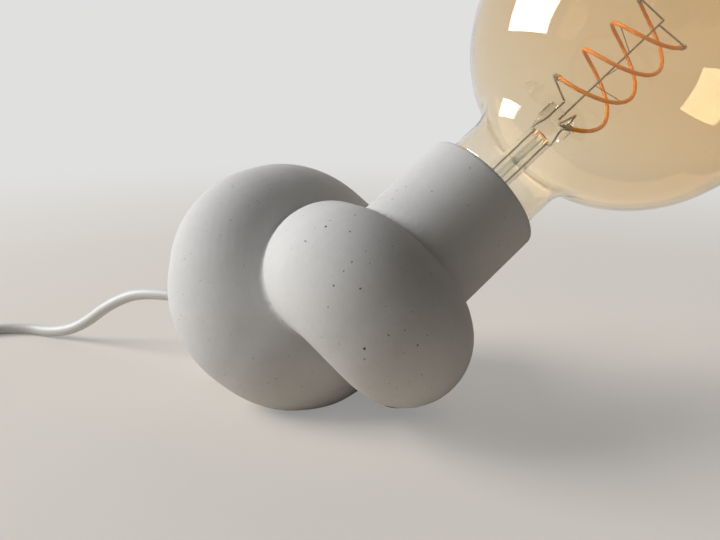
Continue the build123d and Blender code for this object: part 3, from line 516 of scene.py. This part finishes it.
def strap(name, way, closed):
    """A flat strap with rounded edges along a way of points and outward directions."""
    turn = Vector((math.cos(TIE_ANGLE), math.sin(TIE_ANGLE), 0))
    across = Vector((-turn.y, turn.x, 0))
    points = []
    for at, out in way:
        for side, rise in TIE_SECTION:
            local = tie_middle + at + out * (rise * TIE_T)
            points.append(COIL_MIDDLE + turn * local.x + across * (side * TIE_W) + Vector((0, 0, local.z)))
    size = len(TIE_SECTION)
    count = len(way)
    faces = []
    for i in range(count if closed else count - 1):
        for k in range(size):
            a, b = i * size, (i + 1) % count * size
            faces.append((a + k, b + k, b + (k + 1) % size, a + (k + 1) % size))
    if not closed:
        faces.append(tuple(range(size)))
        faces.append(tuple(reversed(range((count - 1) * size, count * size))))
    mesh = bpy.data.meshes.new(name)
    mesh.from_pydata(points, [], faces)
    mesh.shade_smooth()
    mesh.materials.append(webbing)
    piece = placed(name, mesh)
    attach(piece, "lamp_body")
    return piece


webbing, shader, place = finish("tie_webbing", Sheen_Weight=0.3)
threads = place.node(
    "ShaderNodeTexVoronoi", {"distance": "MANHATTAN"}, {"Vector": place, "Scale": 1 / THREAD}
)
# The strap is painted darker where the weave is low: painted shade between the threads.
threads.tint(TIE_PALE, TIE_WEAVE_SHADE).feed(shader, "Base Color")
(TIE_ROUGH + THREAD_ROUGH * threads).feed(shader, "Roughness")
(1 - threads).bump(THREAD_DEPTH).feed(shader, "Normal")
round_turns = []
for corner, (sx, sz) in enumerate(((1, 1), (-1, 1), (-1, -1), (1, -1))):
    for i in range(TIE_CORNER_STEPS + 1):
        angle = math.pi / 2 * (corner + i / TIE_CORNER_STEPS)
        out = Vector((math.cos(angle), 0, math.sin(angle)))
        round_turns.append((Vector((sx * half_run, 0, sz * half_rise)) + out * TIE_CORNER, out))
band = strap("cord_tie", round_turns, closed=True)
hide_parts("coil_tie")
top_run = []
for i in range(TAB_STEPS + 1):
    reach = half_run * (1 - 2 * TIE_OVERLAP * i / TAB_STEPS)
    top_run.append((Vector((reach, 0, TIE_HEIGHT / 2 + TIE_T)), Vector((0, 0, 1))))
tab = strap("cord_tie_tab", top_run, closed=False)

# Bulb cap: a rolled nickel-plated screw shell with a dark glass insulator and a solder tip.
# It is cemented on the globe's neck, and a small driver board stands inside it.
dress(nickel, "bulb_cap")
insulator = moulded(
    "black_insulator",
    (0.008, 0.008, 0.01),
    (0.015, 0.015, 0.018),
    roughness=0.12,
    grain=0.001,
    height=0.00001,
)
dress(insulator, "cap_insulator")
solder = metal("solder", (0.45, 0.45, 0.44), (0.60, 0.60, 0.58), roughness=0.4, grain=0.0006)
dress(solder, "cap_contact")
board = moulded(
    "driver_board", (0.02, 0.12, 0.05), (0.03, 0.17, 0.07), roughness=0.4, grain=0.0008, height=0.00001
)
dress(board, "driver_board")
electronics = moulded(
    "driver_parts", (0.02, 0.02, 0.022), (0.04, 0.04, 0.045), roughness=0.45, grain=0.0006, height=0.00002
)
dress(electronics, "driver_parts")

# Stem and wires: a clear drawn-glass stem with its exhaust tube, melted into the globe's neck.
# It is pinched flat round the nickel lead wires and the post that carries the filaments.
GLASS_WAVE = 0.02
WAVE_HEIGHT = 0.0001
STEM_LOW = (0.97, 0.98, 0.97)
STEM_HIGH = (0.95, 0.96, 0.95)
STEM_SPAN = (0.0, 0.046)  # heights over the rim, along the socket's axis


def glass(name, low, high, span):
    """Blown glass, faintly wavy, whose colour changes between two heights over the rim."""
    material, shader, place = finish(name, Transmission_Weight=1.0, Roughness=0.0, IOR=1.5)
    inputs = {0: place, 1: SOCKET_AXIS}
    height = place.node("ShaderNodeVectorMath", {"operation": "DOT_PRODUCT"}, inputs, "Value")
    share = height.above(RIM.dot(SOCKET_AXIS) + sum(span) / 2, (span[1] - span[0]) / 2)
    share.tint(low, high).feed(shader, "Base Color")
    place.noise(GLASS_WAVE, detail=1.0).bump(WAVE_HEIGHT).feed(shader, "Normal")
    return material


dress(glass("clear_glass", STEM_LOW, STEM_HIGH, STEM_SPAN), "bulb_stem", "exhaust_tube")
wire = metal("lead_wire", (0.30, 0.28, 0.25), (0.46, 0.43, 0.38), roughness=0.4, grain=0.0004)
dress(wire, "lead_wires", "support_wire", "filament_clips")

# Filaments: two flexible strands coated in orange phosphor silicone, wound as a double helix.
# Small clips hold their ends to the lead wires below and to the post above.
phosphor = moulded(
    "filament_phosphor", (0.90, 0.29, 0.012), (0.98, 0.40, 0.03), roughness=0.5, grain=0.0012, height=0.00004
)
dress(phosphor, "filament_1", "filament_2")

# Globe: one blown glass bulb, cemented into its cap. Its amber metal-oxide tint is thin
# at the neck and deeper towards the top.
NECK_TINT = (0.955, 0.905, 0.80)
TOP_TINT = (0.845, 0.64, 0.385)
TINT_SPAN = (-0.01, 0.15)  # heights over the rim, along the socket's axis
dress(glass("amber_glass", NECK_TINT, TOP_TINT, TINT_SPAN), "bulb_glass")

# Stage: a plain pale floor that runs into a pale backdrop, and is no part of the lamp.
# One large soft light stands on the left, and a weak one behind on the right.
FLOOR_TONE = (0.68, 0.61, 0.52)
FLOOR_SHADE = 0.985  # its darker patches, as a share of its tone
FLOOR_PATCH = 0.4
FLOOR_R = 6.0
FLOOR_SIDES = 96
FLOOR_Z = -0.0002
BACKDROP = (0.745, 0.745, 0.74)
FILL_TINT = (0.95, 0.97, 1.0)
FILL = 0.045
NEAR_GLOW = 0.35  # share of the backdrop's even tone in the floor beside the lamp
FADE = (0.55, 0.35)  # the floor turns into the backdrop at this distance, give or take
# Each light: how far right, forward and up from the lamp, width and height, and power in watts
LIGHTS = {
    "window": ((-2.4, 0.12, 1.32), (1.8, 1.6), 96.0),
    "reflector": ((0.7, 1.1, 1.0), (1.8, 1.3), 6.5),
}


def seen(tree):
    """1 on rays from the camera, straight, mirrored or through glass."""
    path = tree.nodes.new("ShaderNodeLightPath")
    kinds = ("Camera", "Glossy", "Transmission")
    straight, mirrored, through = [Socket(tree, path.outputs[f"Is {kind} Ray"]) for kind in kinds]
    return straight.math("MAXIMUM", straight.math("MAXIMUM", straight, mirrored), through)


bpy.ops.mesh.primitive_circle_add(
    vertices=FLOOR_SIDES, radius=FLOOR_R, fill_type="NGON", location=(0, 0, FLOOR_Z)
)
floor = bpy.context.object
floor.name = "floor"
paper, shader, place = finish("pale_floor", Roughness=0.8)
shade = [v * FLOOR_SHADE for v in FLOOR_TONE]
place.noise(FLOOR_PATCH, detail=2.0).tint(shade, FLOOR_TONE).feed(shader, "Base Color")
away = place.node("ShaderNodeVectorMath", {"operation": "LENGTH"}, {0: place}, "Value").above(*FADE)
even = NEAR_GLOW + (1 - NEAR_GLOW) * away
glow = place.node("ShaderNodeEmission", {}, {"Color": (*BACKDROP, 1.0), "Strength": 1.0})
lit = Socket(paper.node_tree, shader.outputs["BSDF"])
mixed = place.node("ShaderNodeMixShader", {}, {0: even * seen(paper.node_tree), 1: lit, 2: glow})
paper.node_tree.links.new(mixed.socket, paper.node_tree.nodes["Material Output"].inputs["Surface"])
floor.data.materials.append(paper)

world = bpy.data.worlds.new("studio")
bpy.context.scene.world = world
world.use_nodes = True
tree = world.node_tree
tree.nodes.clear()
camera_rays = seen(tree)
fill = camera_rays.node("ShaderNodeBackground", {}, {"Color": (*FILL_TINT, 1.0), "Strength": FILL})
pale = camera_rays.node("ShaderNodeBackground", {}, {"Color": (*BACKDROP, 1.0), "Strength": 1.0})
both = camera_rays.node("ShaderNodeMixShader", {}, {0: camera_rays, 1: fill, 2: pale})
sky = tree.nodes.new("ShaderNodeOutputWorld")
tree.links.new(both.socket, sky.inputs["Surface"])

# The camera's level directions, and the middle of the lamp
forward = Vector((0.4346, 0.9006, 0.0))
right = Vector((0.9006, -0.4346, 0.0))
up = Vector((0.0, 0.0, 1.0))
middle = Vector((-0.05, 0.0, 0.06))
for name, (steps, size, watts) in LIGHTS.items():
    data = bpy.data.lights.new(name, "AREA")
    data.shape = "RECTANGLE"
    data.size, data.size_y = size
    data.energy = watts
    light = placed(name, data)
    light.location = middle + right * steps[0] + forward * steps[1] + up * steps[2]
    light.rotation_mode = "QUATERNION"
    light.rotation_quaternion = (middle - light.location).to_track_quat("-Z", "Y")

# Camera: the photograph's low three-quarter view, a little above the socket's rim.
# It stands about 0.33 m from the lamp's middle, with a normal lens.
CAMERA = Vector((-0.19247, -0.28883, 0.12840))
PITCH = math.radians(13.25)
LENS = 43.5
SENSOR_W = 36.0
NEAREST = 0.01
camera_data = bpy.data.cameras.new("camera")
camera_data.lens = LENS
camera_data.sensor_width = SENSOR_W
camera_data.clip_start = NEAREST
camera = placed("camera", camera_data)
camera.location = CAMERA
look = forward * math.cos(PITCH) - up * math.sin(PITCH)
camera.rotation_mode = "QUATERNION"
camera.rotation_quaternion = look.to_track_quat("-Z", "Y")
bpy.context.scene.camera = camera
bpy.context.scene.view_settings.view_transform = "Standard"
